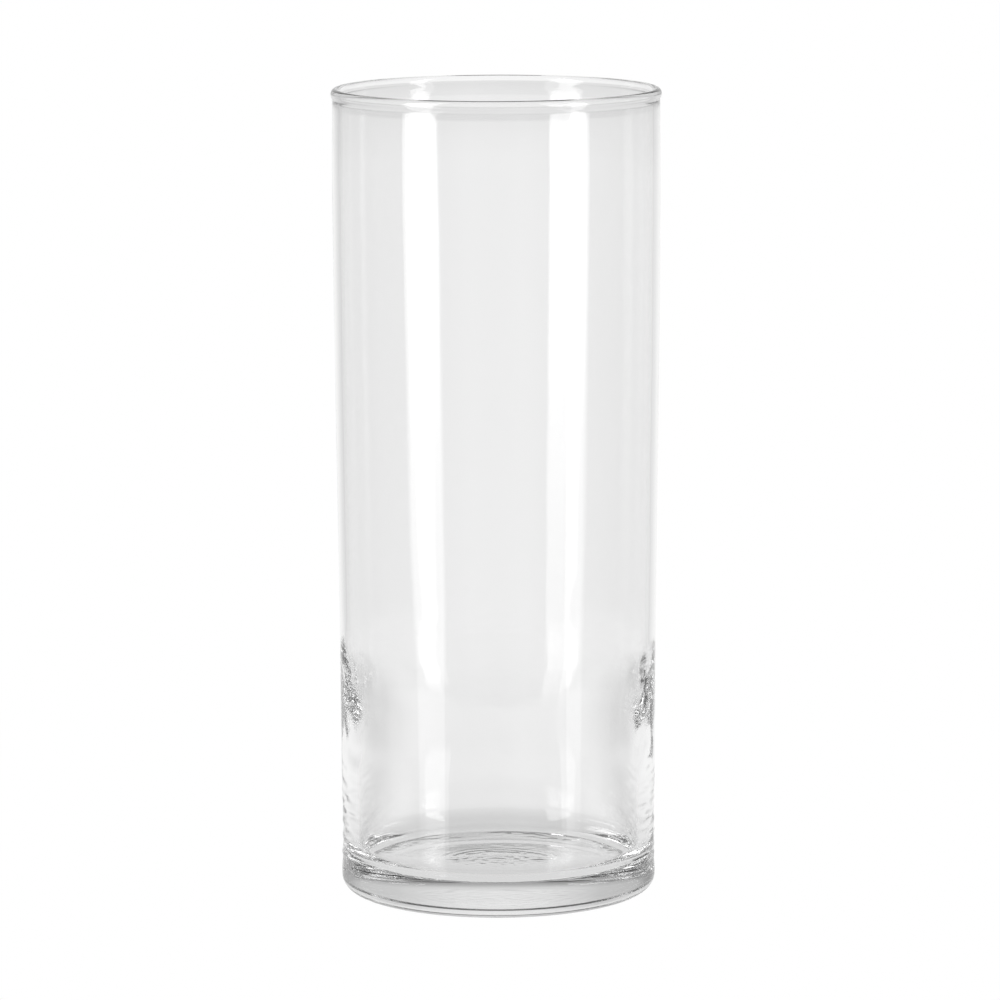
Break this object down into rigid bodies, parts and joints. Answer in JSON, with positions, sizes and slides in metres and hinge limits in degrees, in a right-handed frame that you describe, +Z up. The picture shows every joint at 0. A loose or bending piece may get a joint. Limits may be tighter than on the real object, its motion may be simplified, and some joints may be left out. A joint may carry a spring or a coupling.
{
  "type": "glass cylinder vase",
  "caption": "Tall clear-glass cylinder vase with a beaded rim, a rounded heel, a thick base and a shallow hollow under it.",
  "frame": {"origin": "centre of the bearing ring that the vase stands on", "axes": "+Z up along the vase's axis; the vase is round, so +X and +Y are free"},
  "size_m": [0.1032, 0.1032, 0.254],
  "materials": {
    "clear_glass": "clear colourless soda-lime glass, fire-polished, very slightly wavy"
  },
  "bodies": {
    "root": {"glass_vase": "clear_glass"}
  },
  "joints": []
}
